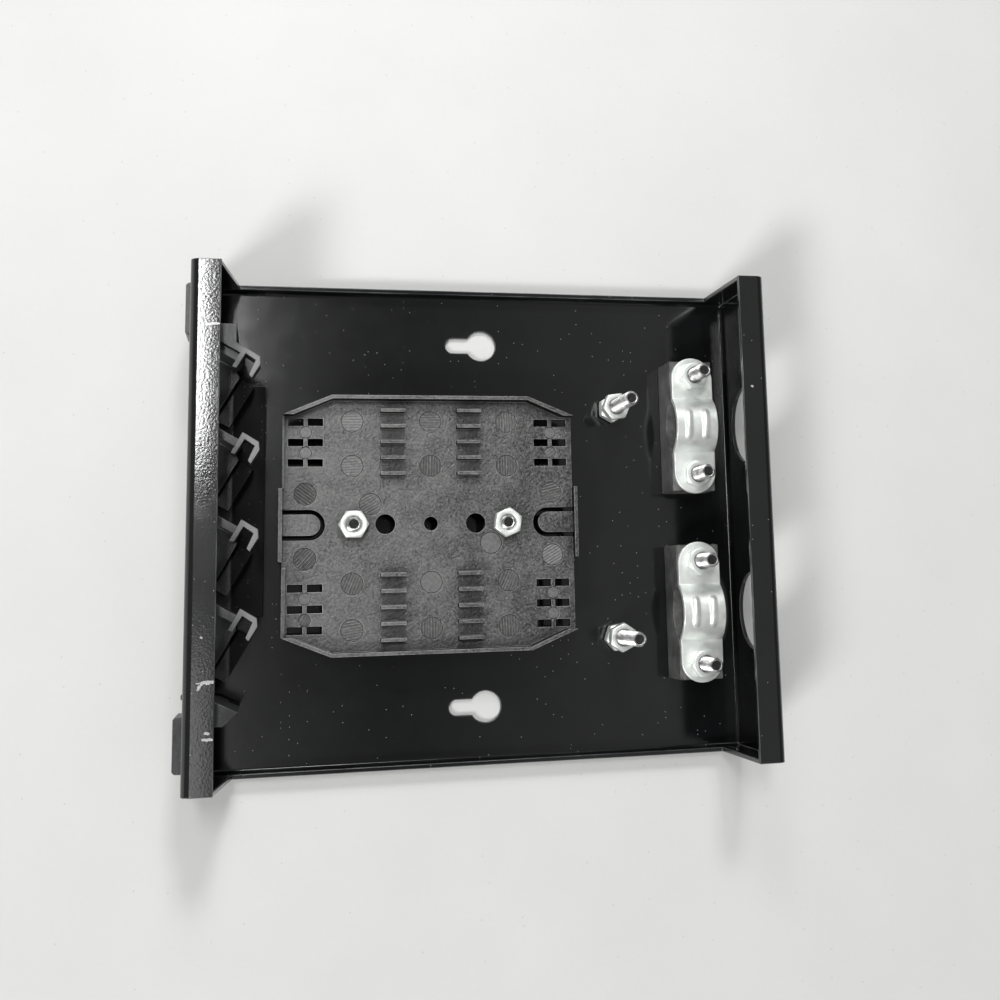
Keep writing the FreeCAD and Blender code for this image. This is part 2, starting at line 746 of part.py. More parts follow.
fill_sheet()
subparts = [make_base_tray(), make_adapter_holder(), make_splice_tray()]
subparts += make_tray_fasteners()
subparts += make_post("1", "post_far_y", 30, 8)
subparts += make_post("2", "post_near_y", 10, 26)
subparts += make_clamp("1", 1, (10, 35))
subparts += make_clamp("2", -1, (25, 5))
doc.recompute()
check_all(subparts)
export_all(subparts)
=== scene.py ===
"""Looks of the open fiber termination box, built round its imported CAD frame. Metres, CAD axes."""
import math

import bmesh
import bpy
from mathutils import Matrix, Vector


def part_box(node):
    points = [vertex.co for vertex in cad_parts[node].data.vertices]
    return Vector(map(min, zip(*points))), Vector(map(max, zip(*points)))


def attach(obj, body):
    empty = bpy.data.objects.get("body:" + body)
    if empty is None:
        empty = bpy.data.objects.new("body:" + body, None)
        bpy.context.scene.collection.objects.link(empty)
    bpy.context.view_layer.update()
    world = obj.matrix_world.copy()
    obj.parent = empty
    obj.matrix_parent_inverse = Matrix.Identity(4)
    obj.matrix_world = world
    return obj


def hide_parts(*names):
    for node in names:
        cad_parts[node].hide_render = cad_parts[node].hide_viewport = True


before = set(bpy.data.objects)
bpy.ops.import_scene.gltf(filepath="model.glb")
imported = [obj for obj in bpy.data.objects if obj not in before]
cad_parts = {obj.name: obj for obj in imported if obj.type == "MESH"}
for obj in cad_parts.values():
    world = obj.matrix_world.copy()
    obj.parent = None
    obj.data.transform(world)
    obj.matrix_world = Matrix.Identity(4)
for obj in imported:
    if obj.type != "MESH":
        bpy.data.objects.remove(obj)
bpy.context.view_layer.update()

MM = 0.001

# places and sizes in millimetres
PITCH = 0.7
CLAMP_X = 60.5
CLAMP_Y = 26.0
CLAMP_STUD = 14.0
POST_X = 39.4
POST_Y = {"1": 32.0, "2": -32.5}
TRAY = Vector((-13.7, -0.5, 9.8))
TRAY_STUD = 20.7
END_RADIUS = 1.5
LARGE_PIN = 2.8
SMALL_PIN = 1.5

# scale that keeps a rounded copy inside the box round its CAD node
WITHIN = 0.99999

# ---------------------------------------------------------------- node helpers


class Nodes:
    """Adds nodes to a tree and feeds their inputs with values or other nodes' sockets."""

    def __init__(self, tree):
        self.tree = tree

    def feed(self, node, inputs):
        for key, value in inputs.items():
            socket = node.inputs[key]
            if isinstance(value, bpy.types.NodeSocket):
                self.tree.links.new(value, socket)
            else:
                socket.default_value = value
        return node

    def add(self, kind, inputs=None, **settings):
        node = self.tree.nodes.new(kind)
        for key, value in settings.items():
            setattr(node, key, value)
        return self.feed(node, inputs or {})

    def math(self, operation, first, second=0.0, third=0.0):
        return self.add("ShaderNodeMath", {0: first, 1: second, 2: third}, operation=operation).outputs[0]

    def ramp(self, value, low, high, start=0.0, end=1.0, smooth=False):
        kind = "SMOOTHSTEP" if smooth else "LINEAR"
        inputs = {"Value": value, "From Min": low, "From Max": high, "To Min": start, "To Max": end}
        return self.add("ShaderNodeMapRange", inputs, interpolation_type=kind).outputs["Result"]

    def mix(self, factor, first, second):
        node = self.add("ShaderNodeMix", data_type="RGBA")
        self.feed(node, {0: factor, 6: first, 7: second})
        return node.outputs[2]


class Finish(Nodes):
    """A procedural material in object space."""

    def __init__(self, name):
        self.material = bpy.data.materials.new(name)
        self.material.use_nodes = True
        super().__init__(self.material.node_tree)
        self.surface = self.tree.nodes["Principled BSDF"]
        self.where = self.add("ShaderNodeTexCoord").outputs["Object"]
        self.normal = self.add("ShaderNodeNewGeometry").outputs["Normal"]

    def stretched(self, x, y, z, turn=0.0):
        node = self.add("ShaderNodeMapping", {"Vector": self.where, "Scale": (x, y, z)})
        node.inputs["Rotation"].default_value = (0.0, 0.0, turn)
        return node.outputs[0]

    def noise(self, size, detail=2.0, rough=0.5, vector=None):
        """Noise whose lumps are about size metres across."""
        inputs = {"Vector": vector or self.where, "Scale": 1 / size, "Detail": detail, "Roughness": rough}
        return self.add("ShaderNodeTexNoise", inputs).outputs["Fac"]

    def specks(self, cell, radius, share):
        """Mask of round specks on faces that look up: one in some of the cells of a random grid."""
        inputs = {"Vector": self.where, "Scale": 1 / cell}
        node = self.add("ShaderNodeTexVoronoi", inputs, voronoi_dimensions="2D")
        near = self.ramp(node.outputs["Distance"], radius / cell, 0.6 * radius / cell)
        chosen = self.add("ShaderNodeSeparateColor", {"Color": node.outputs["Color"]}).outputs[0]
        share_here = self.math("MULTIPLY", self.upward(), share)
        return self.math("MULTIPLY", near, self.math("LESS_THAN", chosen, share_here))

    def upward(self):
        """One on faces that look up, nought on upright faces."""
        facing = self.add("ShaderNodeSeparateXYZ", {0: self.normal}).outputs[2]
        return self.ramp(facing, 0.35, 0.8)

    def shade(self, colour, reach, depth):
        """Colour darkened by depth in the corners that lie within reach of another face."""
        open_share = self.add("ShaderNodeAmbientOcclusion", {"Distance": reach}, samples=8).outputs["AO"]
        return self.mix(self.ramp(open_share, 0.35, 0.95, depth, 0.0), colour, grey(0.0))

    def place(self):
        """The three coordinates of the shaded point, in metres."""
        return self.add("ShaderNodeSeparateXYZ", {0: self.where}).outputs

    def chip(self, x, y, long, wide, turn=0.0):
        """Mask of a ragged chip about long by wide, centred on x, y. All in millimetres."""
        spread = {"Vector": self.where, "Scale": 1 / (0.7 * MM), "Detail": 2.0}
        ragged = self.add("ShaderNodeTexNoise", spread).outputs["Fac"]
        ends = {0: self.where, 1: (x * MM, y * MM, 0)}
        moved = self.add("ShaderNodeVectorMath", ends, operation="SUBTRACT").outputs[0]
        node = self.add("ShaderNodeMapping", {"Vector": moved}, vector_type="TEXTURE")
        node.inputs["Rotation"].default_value = (0.0, 0.0, math.radians(turn))
        node.inputs["Scale"].default_value = (long / 2 * MM, wide / 2 * MM, 1.0)
        apart = self.add("ShaderNodeSeparateXYZ", {0: node.outputs[0]}).outputs
        reach = self.math("SQRT", self.math("MULTIPLY_ADD", apart[0], apart[0],
                                            self.math("MULTIPLY", apart[1], apart[1])))
        reach = self.math("MULTIPLY_ADD", ragged, 1.6, reach)
        return self.ramp(reach, 1.75, 1.5)

    def bump(self, height, distance, strength=1.0, normal=None):
        inputs = {"Height": height, "Distance": distance, "Strength": strength}
        if normal:
            inputs["Normal"] = normal
        return self.add("ShaderNodeBump", inputs).outputs[0]

    def finish(self, colour, roughness, normal=None, **more):
        inputs = {"Base Color": colour, "Roughness": roughness}
        if normal:
            inputs["Normal"] = normal
        inputs.update({key.replace("_", " "): value for key, value in more.items()})
        self.feed(self.surface, inputs)
        return self.material


def grey(value, tint=0.0):
    """A colour near grey: tint above nought is cooler."""
    return (value * (1 - tint), value, value * (1 + tint), 1.0)


# ---------------------------------------------------------------- materials


# chips in the paint of the lips: x, y, length, width and turn
CHIPS = [
    (-70.6, 48.3, 4.2, 0.9, 6), (-70.2, -38.6, 5.0, 1.0, 4), (-71.8, -39.6, 1.8, 1.0, 60),
    (-69.9, -50.3, 1.8, 0.7, -5), (-69.7, -51.8, 3.4, 0.8, 0), (-72.9, 51.0, 0.9, 0.7, 0),
    (70.9, 34.2, 0.9, 0.7, 0), (-71.6, -28.0, 0.8, 0.6, 0),
]


def powder_coat(name, low, high, chips, gloss):
    """Black glossy powder coat: orange peel, pimples, dust, chips and faint scuffs."""
    f = Finish(name)
    x, _, z = f.place()
    on_lip = f.ramp(z, 31 * MM, 33 * MM)
    peel = f.noise(0.62 * MM, 2.0, 0.45)
    swell = f.noise(3.0 * MM, 2.0, 0.5)
    pimples = f.specks(3.4 * MM, 0.22 * MM, 0.22)
    dust = f.specks(2.3 * MM, 0.15 * MM, 0.10)
    haze = f.noise(14 * MM, 3.0, 0.6)
    colour = f.mix(f.ramp(haze, 0.4, 0.75), grey(low, 0.06), grey(high, 0.04))
    colour = f.mix(f.math("MULTIPLY", dust, 0.8), colour, grey(0.3))
    height = f.math("MULTIPLY_ADD", swell, 0.6, peel)
    height = f.math("MULTIPLY", height, f.ramp(on_lip, 0.0, 1.0, 0.15, 1.0))
    height = f.math("MULTIPLY_ADD", pimples, 0.5, height)
    for spot in chips:
        mask = f.math("MULTIPLY", f.chip(*spot), on_lip)
        colour = f.mix(mask, colour, grey(0.42))
        height = f.math("MULTIPLY_ADD", mask, -0.6, height)
    normal = f.bump(height, 0.034 * MM, 0.6)
    rough = f.ramp(f.noise(4 * MM, 2.0), 0.3, 0.7, gloss, gloss + 0.02)
    on_left_lip = f.math("MULTIPLY", on_lip, f.ramp(x, 0.0, -60 * MM))
    return f.finish(colour, rough, normal, Specular_IOR_Level=f.ramp(on_left_lip, 0.0, 1.0, 0.55, 0.95))


def tray_plastic(name, low, high):
    """Black moulded plastic: coarse grey mottle and sparkling grain; upright faces painted near black as
    painted shade.
    """
    f = Finish(name)
    grain = f.noise(0.7 * MM, 2.0, 0.7)
    swirl = {"Vector": f.where, "Scale": 1 / (1.5 * MM), "Detail": 2.0, "Distortion": 1.6}
    curl = f.add("ShaderNodeTexNoise", swirl).outputs["Fac"]
    cloud = f.noise(9 * MM, 3.0, 0.6)
    dust = f.specks(1.6 * MM, 0.16 * MM, 0.25)
    tone = f.math("MULTIPLY_ADD", f.ramp(cloud, 0.38, 0.64), 0.6, f.ramp(grain, 0.36, 0.64))
    tone = f.math("MULTIPLY_ADD", f.ramp(curl, 0.38, 0.62), 0.5, tone)
    # painted light: the tone lightens towards -x, standing in for the ceiling light's glare on the tray
    tone = f.math("ADD", tone, f.ramp(f.place()[0], 25 * MM, -50 * MM, 0.0, 0.75))
    colour = f.mix(f.ramp(tone, 0.45, 2.1), grey(low), grey(high))
    # painted shade: faces that do not look up are painted near black
    colour = f.mix(f.upward(), grey(0.3 * low), colour)
    colour = f.mix(f.math("MULTIPLY", dust, 0.6), colour, grey(0.34))
    colour = f.shade(colour, 2.8 * MM, 0.9)
    height = f.math("MULTIPLY_ADD", curl, 1.2, f.math("MULTIPLY_ADD", cloud, 0.6, grain))
    normal = f.bump(height, 0.16 * MM, 0.85)
    rough = f.ramp(grain, 0.3, 0.7, 0.30, 0.44)
    sheen = f.ramp(f.upward(), 0.0, 1.0, 0.08, 0.6)
    return f.finish(colour, rough, normal, Specular_IOR_Level=sheen)


def holder_plastic(name, low, high):
    """Dark grey moulded plastic, satin, with faint flow lines; painted light on the latch tops, painted
    shade on the low parts.
    """
    f = Finish(name)
    x, y, z = f.place()
    flow = f.noise(3.5 * MM, 3.0, 0.6, f.stretched(1.0, 0.5, 2.0, 0.5))
    grain = f.noise(0.45 * MM, 2.0, 0.6)
    dust = f.specks(1.5 * MM, 0.12 * MM, 0.16)
    # painted shade: the parts below 10.65 mm and inward of x = -65.5 mm are painted near black, rougher and
    # less glossy; this mask is one outside them
    clear_of_painted_shade = f.math("MAXIMUM", f.ramp(z, 10.65 * MM, 10.9 * MM), f.ramp(x, -65.5 * MM, -66 * MM))
    # painted light: the latch tops in the row of ports are painted lighter, more so towards the middle of
    # the box
    latch = f.math("MULTIPLY", f.ramp(z, 27.2 * MM, 27.35 * MM), f.ramp(x, -66.5 * MM, -60.5 * MM))
    in_row = f.math("MULTIPLY", f.ramp(y, 44.6 * MM, 43.8 * MM), f.ramp(y, -32 * MM, -31 * MM))
    latch = f.math("MULTIPLY", latch, in_row)
    tone = f.ramp(f.math("MULTIPLY_ADD", grain, 0.6, flow), 0.6, 1.0)
    colour = f.mix(tone, grey(low, 0.02), grey(high, 0.03))
    colour = f.mix(clear_of_painted_shade, grey(0.006), colour)
    colour = f.mix(latch, colour, grey(0.19))
    colour = f.mix(f.math("MULTIPLY", dust, 0.6), colour, grey(0.2))
    normal = f.bump(f.math("MULTIPLY_ADD", flow, 1.5, grain), 0.07 * MM, 0.6)
    rough = f.math("MULTIPLY_ADD", flow, 0.2, f.ramp(clear_of_painted_shade, 0.0, 1.0, 0.42, 0.28))
    return f.finish(colour, rough, normal, Specular_IOR_Level=f.ramp(clear_of_painted_shade, 0.0, 1.0, 0.08, 0.5))


def rubber(name, low, high):
    """Black rubber, matte, with a little bloom."""
    f = Finish(name)
    grain = f.noise(0.5 * MM, 2.0, 0.6)
    bloom = f.noise(5 * MM, 3.0, 0.6)
    scratches = f.noise(0.8 * MM, 2.0, 0.6, f.stretched(1.0, 0.15, 1.0, 0.15))
    tone = f.math("MULTIPLY_ADD", f.ramp(scratches, 0.5, 0.68), 0.5, f.ramp(bloom, 0.4, 0.75))
    colour = f.mix(f.ramp(tone, 0.0, 1.3), grey(low), grey(high))
    normal = f.bump(f.math("MULTIPLY_ADD", bloom, 1.5, grain), 0.1 * MM, 0.75)
    return f.finish(colour, f.ramp(grain, 0.3, 0.7, 0.36, 0.52), normal)


def bright_zinc():
    """Bright zinc plating: fine rolling lines, faint cloud and small pits."""
    f = Finish("bright_zinc")
    lines = f.noise(0.35 * MM, 2.0, 0.6, f.stretched(1.0, 0.12, 1.0))
    cloud = f.noise(3.5 * MM, 3.0, 0.6)
    pits = f.specks(1.6 * MM, 0.12 * MM, 0.3)
    colour = f.mix(f.ramp(cloud, 0.35, 0.7), (0.82, 0.86, 0.83, 1), (0.95, 0.97, 0.95, 1))
    colour = f.mix(f.math("MULTIPLY", pits, 0.5), colour, grey(0.35))
    height = f.math("MULTIPLY_ADD", pits, -0.6, f.math("MULTIPLY_ADD", lines, 0.4, cloud))
    normal = f.bump(height, 0.06 * MM, 0.6)
    rough = f.ramp(cloud, 0.3, 0.7, 0.30, 0.44)
    return f.finish(colour, rough, normal, Metallic=0.6)


def stud_zinc():
    """Zinc-plated thread, duller than the straps."""
    f = Finish("stud_zinc")
    cloud = f.noise(1.2 * MM, 3.0, 0.6, f.stretched(1.0, 1.0, 0.3))
    colour = f.mix(f.ramp(cloud, 0.38, 0.64), grey(0.34), grey(0.74))
    normal = f.bump(cloud, 0.05 * MM, 0.5)
    return f.finish(colour, f.ramp(cloud, 0.3, 0.7, 0.28, 0.42), normal, Metallic=1.0)


def stud_face():
    """Sheared end of a stud: darker, with turning marks."""
    f = Finish("stud_end_steel")
    cloud = f.noise(0.6 * MM, 3.0, 0.7)
    colour = f.mix(f.ramp(cloud, 0.35, 0.7), grey(0.006), grey(0.03))
    normal = f.bump(cloud, 0.08 * MM, 0.7)
    return f.finish(colour, 0.55, normal, Specular_IOR_Level=0.2)


def pin_mark(name, low, high):
    """End of an ejector pin printed in the plastic: smoother and lighter than the floor round it."""
    f = Finish(name)
    cloud = f.noise(0.9 * MM, 3.0, 0.65)
    colour = f.shade(f.mix(f.ramp(cloud, 0.35, 0.68), grey(low), grey(high)), 0.6 * MM, 0.8)
    normal = f.bump(cloud, 0.08 * MM, 0.7)
    return f.finish(colour, 0.36, normal, Specular_IOR_Level=0.6)


def table():
    """Pale laminate: faint mottle and a few specks."""
    f = Finish("pale_table")
    cloud = f.noise(60 * MM, 3.0, 0.6)
    grain = f.noise(1.6 * MM, 2.0, 0.6)
    specks = f.specks(9 * MM, 0.3 * MM, 0.3)
    tone = f.math("MULTIPLY_ADD", f.ramp(grain, 0.3, 0.7), 0.25, f.ramp(cloud, 0.3, 0.7))
    colour = f.mix(f.ramp(tone, 0.0, 1.25), (0.66, 0.662, 0.655, 1), (0.70, 0.702, 0.695, 1))
    colour = f.mix(f.math("MULTIPLY", specks, 0.35), colour, grey(0.4))
    return f.finish(colour, 0.6, f.bump(grain, 0.03 * MM, 0.3))


# The paler edge materials below go on the rounded edges of the eased copies: painted highlights along those
# edges.
COAT = powder_coat("black_powder_coat", 0.0065, 0.0085, CHIPS, 0.11)
COAT_EDGE_HIGHLIGHT = powder_coat("coat_edge_painted_highlight", 0.02, 0.16, [], 0.3)
TRAY_PLASTIC = tray_plastic("black_plastic", 0.012, 0.138)
TRAY_EDGE_HIGHLIGHT = tray_plastic("black_plastic_edge_painted_highlight", 0.12, 0.36)
HOLDER_PLASTIC = holder_plastic("dark_grey_plastic", 0.02, 0.055)
HOLDER_EDGE_HIGHLIGHT = holder_plastic("dark_grey_plastic_edge_painted_highlight", 0.05, 0.14)
RUBBER = rubber("black_rubber", 0.065, 0.17)
RUBBER_EDGE_HIGHLIGHT = rubber("black_rubber_edge_painted_highlight", 0.035, 0.2)
ZINC = bright_zinc()
STUD_ZINC = stud_zinc()
STUD_FACE = stud_face()
PIN_RIDGED = pin_mark("pin_end_ridged", 0.09, 0.22)
PIN_PLAIN = pin_mark("pin_end_plain", 0.10, 0.17)

# ---------------------------------------------------------------- meshes


def add_object(name, mesh, materials, body, smooth=True):
    """Link a mesh as a piece that rides on a body."""
    piece = bpy.data.objects.new(name, mesh)
    bpy.context.scene.collection.objects.link(piece)
    for material in materials:
        mesh.materials.append(material)
    for face in mesh.polygons:
        face.use_smooth = smooth
    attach(piece, body)
    return piece


def keep_flats_flat(piece):
    """Weigh the shading normals by area, so that wide faces look flat beside rounded edges."""
    weighted = piece.modifiers.new("normals", "WEIGHTED_NORMAL")
    weighted.mode = "FACE_AREA"
    weighted.weight = 90
    weighted.keep_sharp = True


def mesh_of(work, name):
    """The mesh of a finished bmesh, which is freed."""
    mesh = bpy.data.meshes.new(name)
    work.to_mesh(mesh)
    work.free()
    return mesh


def round_edges(piece, width, segments, angle):
    """Bevel the edges that turn by more than angle degrees."""
    bevel = piece.modifiers.new("edges", "BEVEL")
    bevel.width = width
    bevel.segments = segments
    bevel.limit_method = "ANGLE"
    bevel.angle_limit = math.radians(angle)
    return bevel


def grid_faces(work, rows, closed):
    """Quads between rows of vertices; closed joins each row's last vertex to its first."""
    faces = []
    for first, second in zip(rows, rows[1:]):
        count = len(first)
        for index in range(count if closed else count - 1):
            follow = (index + 1) % count
            faces.append(work.faces.new([first[index], first[follow], second[follow], second[index]]))
    return faces


def turned_rows(work, profile, base, around):
    """Rings of vertices, one for each radius and rise in millimetres above base in metres."""
    angles = [2 * math.pi * step / around for step in range(around)]
    return [[work.verts.new((radius * MM * math.cos(a), radius * MM * math.sin(a), base + rise * MM))
             for a in angles] for radius, rise in profile]


def eased(node, body, material, edge, width, segments=2):
    """The CAD node's shape with its edges rounded in a paler material of their own, a painted highlight
    along the edges, in place of the node.
    """
    work = bmesh.new()
    work.from_mesh(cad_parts[node].data)
    bmesh.ops.remove_doubles(work, verts=work.verts, dist=1e-6)
    bmesh.ops.scale(work, vec=(WITHIN, WITHIN, WITHIN), verts=work.verts)
    mesh = mesh_of(work, node + "_eased")
    piece = add_object(node + "_eased", mesh, [material, edge], body)
    bevel = round_edges(piece, width, segments, 38)
    bevel.use_clamp_overlap = False
    bevel.loop_slide = False
    bevel.material = 1
    keep_flats_flat(piece)
    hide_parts(node)


def thread_rows(low, high, around):
    """Points of a right-handed M4 thread from low to high, in rows that follow the helix."""
    profile = [(0.0, 1.58), (0.25, 1.58), (0.56, 2.0), (0.69, 2.0)]
    turns = math.ceil((high - low) / (PITCH * MM)) + 2
    rows = []
    for turn in range(-1, turns):
        for phase, radius in profile:
            row = []
            for step in range(around):
                share = step / around
                z = min(max(low + (turn + phase + share - 0.5) * PITCH * MM, low), high)
                reach = min(radius * MM, END_RADIUS * MM + (high - z))
                angle = 2 * math.pi * share
                row.append(Vector((reach * math.cos(angle), reach * math.sin(angle), z)))
            rows.append(row)
    return rows, len(profile)


def thread_faces(work, low, high, around):
    """The thread's surface. Each row runs on into the one that lies a turn above it."""
    rows, rows_per_turn = thread_rows(low, high, around)
    verts = [[work.verts.new(point) for point in row] for row in rows]
    for index in range(len(rows) - rows_per_turn):
        first, second = verts[index], verts[index + 1]
        for step in range(around - 1):
            work.faces.new([first[step], first[step + 1], second[step + 1], second[step]])
        if index + 1 + rows_per_turn < len(rows):
            above, over = verts[index + rows_per_turn], verts[index + 1 + rows_per_turn]
            work.faces.new([first[-1], above[0], over[0], second[-1]])
    bmesh.ops.remove_doubles(work, verts=work.verts, dist=1e-7)
    bmesh.ops.dissolve_degenerate(work, edges=work.edges, dist=1e-7)


def stud(name, node, x, y):
    """Weld stud: flange, thread and a dark chamfered end."""
    around = 26
    flange = [(2.0, 1.0), (2.55, 0.9), (2.75, 0.7), (2.75, 0.0)]
    thread_start = 0.9
    end = [(0.02, -0.08), (0.7, -0.12), (1.3, -0.06), (END_RADIUS, -0.02)]
    dark_radius = 1.38
    low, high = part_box(node)
    work = bmesh.new()
    thread_faces(work, low.z + thread_start * MM, high.z, around)
    for vert in work.verts:
        short_of_end = vert.co.xy.length < END_RADIUS * MM - 1e-6
        if abs(vert.co.z - high.z) < 1e-7 and short_of_end:
            vert.co.xy *= END_RADIUS * MM / max(vert.co.xy.length, 1e-6)
    rows = turned_rows(work, end, high.z, around)
    faces = grid_faces(work, rows, True)
    faces.append(work.faces.new(rows[0]))
    for face in faces:
        face.material_index = 1 if face.calc_center_median().xy.length < dark_radius * MM else 0
    grid_faces(work, turned_rows(work, flange, low.z, around), True)
    bmesh.ops.recalc_face_normals(work, faces=work.faces)
    for vert in work.verts:
        vert.co.x += x * MM
        vert.co.y += y * MM
    piece = add_object(name, mesh_of(work, name), [STUD_ZINC, STUD_FACE], "base", smooth=False)
    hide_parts(node)


def hex_nut(node, x, y, turn, body):
    """M4 nut, 7 mm across flats, with chamfered corners and a countersunk bore."""
    low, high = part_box(node)
    per_side = 12
    half_flats = 3.5
    seat_radius = 3.38
    seat_gap = 0.02
    bore, sink = (2.05, 0.42), (2.45, 0.0)
    work = bmesh.new()
    rows = [[] for _ in range(8)]
    height = (high.z - low.z) / MM - 2 * seat_gap
    for step in range(6 * per_side):
        angle = math.pi * step / (3 * per_side)
        corner = math.pi * (step % per_side) / (3 * per_side) - math.pi / 6
        reach = half_flats / math.cos(corner)
        drop = (reach - seat_radius) * math.tan(math.radians(30))
        outline = [bore, sink, (seat_radius, 0.0), (reach, drop)]
        outline += [(radius, height - rise) for radius, rise in reversed(outline)]
        across = math.radians(turn) + angle
        for row, (radius, rise) in zip(rows, outline):
            spot = (x + radius * math.cos(across), y + radius * math.sin(across), 0.0)
            vert = work.verts.new(Vector(spot) * MM)
            vert.co.z = low.z + (seat_gap + rise) * MM
            row.append(vert)
    grid_faces(work, rows + rows[:1], True)
    bmesh.ops.recalc_face_normals(work, faces=work.faces)
    piece = add_object(node + "_hex", mesh_of(work, node + "_hex"), [ZINC], body)
    round_edges(piece, 0.07 * MM, 2, 24)
    keep_flats_flat(piece)
    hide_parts(node)


def strap_height(x, y):
    """Middle surface of the pressed strap above the block: flat ends, arch and two ribs."""
    flat, centre, radius, soft = 0.65, -3.61, 8.26, 0.30
    rib_x, rib_half, rib_reach, rib_rise = 2.5, 3.0, 1.15, 0.5
    arch = centre + math.sqrt(max(radius ** 2 - y ** 2, 0.0))
    level = flat + soft * math.log1p(math.exp(min((arch - flat) / soft, 40)))
    if abs(y) > radius:
        level = flat
    ribs = 0.0
    for middle in (-rib_x, rib_x):
        past_end = max(abs(y) - rib_half, 0.0)
        away = math.hypot(x - middle, past_end) / rib_reach
        if away < 1:
            ribs += rib_rise * math.cos(away * math.pi / 2) ** 2
    return level + ribs


def strap(tag, side):
    """Pressed zinc strap with a bore for each stud."""
    node = "clamp_strap_" + tag
    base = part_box(node)[0].z
    columns, rows, join, end_centre, half = 36, 60, 9.0, 13.25, 6.0
    bore_radius, gauge = 2.25, 1.3
    work = bmesh.new()
    across = [half - 2 * half * c / columns for c in range(columns + 1)]
    middle = []
    for row in range(rows + 1):
        y = join - 2 * join * row / rows
        middle.append([work.verts.new((x, y, 0)) for x in across])
    grid_faces(work, middle, False)
    for end in (1, -1):
        outline = [(x, join) for x in reversed(across)]
        outline += [(half, join + (end_centre - join) * s / 8) for s in range(1, 9)]
        outline += [(half * math.cos(math.pi * s / 30), end_centre + half * math.sin(math.pi * s / 30))
                    for s in range(1, 31)]
        outline += [(-half, end_centre + (join - end_centre) * s / 8) for s in range(1, 8)]
        rings = []
        for share in (0.0, 0.08, 0.2, 0.36, 0.52, 0.68, 0.84, 0.93, 1.0):
            ring = []
            for x, y in outline:
                angle = math.atan2(y - CLAMP_STUD, x)
                near = (bore_radius * math.cos(angle), CLAMP_STUD + bore_radius * math.sin(angle))
                ring.append(work.verts.new((near[0] + (x - near[0]) * share,
                                            end * (near[1] + (y - near[1]) * share), 0)))
            rings.append(ring)
        grid_faces(work, rings, True)
    bmesh.ops.remove_doubles(work, verts=work.verts, dist=1e-4)
    for vert in work.verts:
        vert.co.z = strap_height(vert.co.x, vert.co.y)
    bmesh.ops.recalc_face_normals(work, faces=work.faces)
    for vert in work.verts:
        vert.co = Vector((CLAMP_X, CLAMP_Y * side, base / MM)) + vert.co
        vert.co *= MM
    piece = add_object(node + "_pressed", mesh_of(work, node + "_pressed"), [ZINC], node)
    shell = piece.modifiers.new("gauge", "SOLIDIFY")
    shell.thickness = gauge * MM
    shell.offset = 0.0
    shell.use_even_offset = True
    round_edges(piece, 0.3 * MM, 3, 50)
    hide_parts(node)


def pin_end(name, x, y, radius, angle, depth, material):
    """Ridged end of an ejector pin, set a little below the tray's floor. The ridges run at angle."""
    work = bmesh.new()
    steps = 60 if radius > SMALL_PIN else 36
    ridge, sunk, underside = 0.74, -0.17, -0.34
    columns = []
    for step in range(steps + 1):
        along = -radius + 2 * radius * step / steps
        half = math.sqrt(max(radius ** 2 - along ** 2, 1e-4))
        wave = abs(((along / ridge) % 1.0) * 2 - 1)
        top = sunk + 2.2 * depth * (min(max(wave * 1.8 - 0.4, 0.0), 1.0) - 0.5)
        columns.append([work.verts.new((along, s * half, z)) for s, z in
                        ((1, top), (-1, top), (-1, underside), (1, underside))])
    grid_faces(work, columns, True)
    work.faces.new(columns[0])
    work.faces.new(columns[-1])
    bmesh.ops.recalc_face_normals(work, faces=work.faces)
    turn = Matrix.Rotation(math.radians(angle - 90), 3, "Z")
    for vert in work.verts:
        vert.co = turn @ vert.co
    bmesh.ops.scale(work, vec=(MM, MM, MM), verts=work.verts)
    mesh = mesh_of(work, name)
    piece = bpy.data.objects.new(name, mesh)
    bpy.context.scene.collection.objects.link(piece)
    mesh.materials.append(material)
    piece.location = (TRAY + Vector((x, y, 0))) * MM
    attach(piece, "base")


# ---------------------------------------------------------------- the box

eased("base_tray", "base", COAT, COAT_EDGE_HIGHLIGHT, 0.22 * MM)
eased("adapter_holder", "base", HOLDER_PLASTIC, HOLDER_EDGE_HIGHLIGHT, 0.15 * MM)
eased("splice_tray", "base", TRAY_PLASTIC, TRAY_EDGE_HIGHLIGHT, 0.14 * MM)
NUT_TURNS = {
    "tray_nut_1": 0, "tray_nut_2": 22, "post_lower_nut_1": 30, "post_upper_nut_1": 8,
    "post_lower_nut_2": 10, "post_upper_nut_2": 26, "clamp_nut_1a": 10, "clamp_nut_1b": 35,
    "clamp_nut_2a": 25, "clamp_nut_2b": 5,
}
for tag, side in (("1", 1), ("2", -1)):
    tray_x = TRAY.x - TRAY_STUD * side
    stud("tray_thread_" + tag, "tray_stud_" + tag, tray_x, TRAY.y)
    hex_nut("tray_nut_" + tag, tray_x, TRAY.y, NUT_TURNS["tray_nut_" + tag], "base")
    stud("post_thread_" + tag, "post_stud_" + tag, POST_X, POST_Y[tag])
    for level in ("lower", "upper"):
        node = "post_%s_nut_%s" % (level, tag)
        hex_nut(node, POST_X, POST_Y[tag], NUT_TURNS[node], "base" if level == "lower" else node)
    eased("clamp_block_" + tag, "base", RUBBER, RUBBER_EDGE_HIGHLIGHT, 0.35 * MM, 3)
    strap(tag, side)
    for end, y in (("a", CLAMP_Y * side + CLAMP_STUD), ("b", CLAMP_Y * side - CLAMP_STUD)):
        node = "clamp_nut_" + tag + end
        stud("clamp_thread_" + tag + end, "clamp_stud_" + tag + end, CLAMP_X, y)
        hex_nut(node, CLAMP_X, y, NUT_TURNS[node], node)

